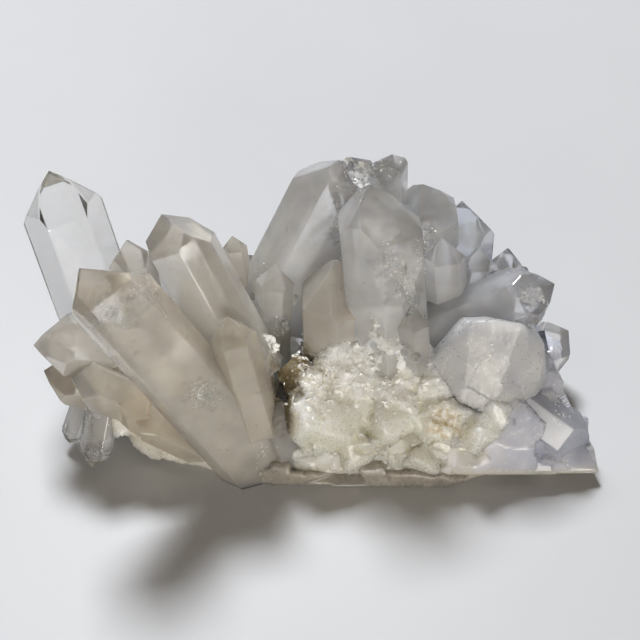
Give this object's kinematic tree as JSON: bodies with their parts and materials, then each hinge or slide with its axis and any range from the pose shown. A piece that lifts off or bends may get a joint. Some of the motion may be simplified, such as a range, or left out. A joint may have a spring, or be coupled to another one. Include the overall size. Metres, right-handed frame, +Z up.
{
  "type": "quartz crystal cluster",
  "caption": "Natural cluster of clear to milky hexagonal quartz crystals fanned out from a broken white root, standing flat for display.",
  "frame": {"origin": "centre of the extents seen from above, on the flat underside that the cluster rests on", "axes": "+X along the cluster's length, to the right as seen from the front; +Y towards its back; +Z up, the way the crystals point"},
  "size_m": [0.1318, 0.0632, 0.064],
  "materials": {
    "quartz": "natural crystal faces, clear at the points and milky towards the root"
  },
  "bodies": {
    "root": {"quartz_cluster": "quartz"}
  },
  "joints": []
}
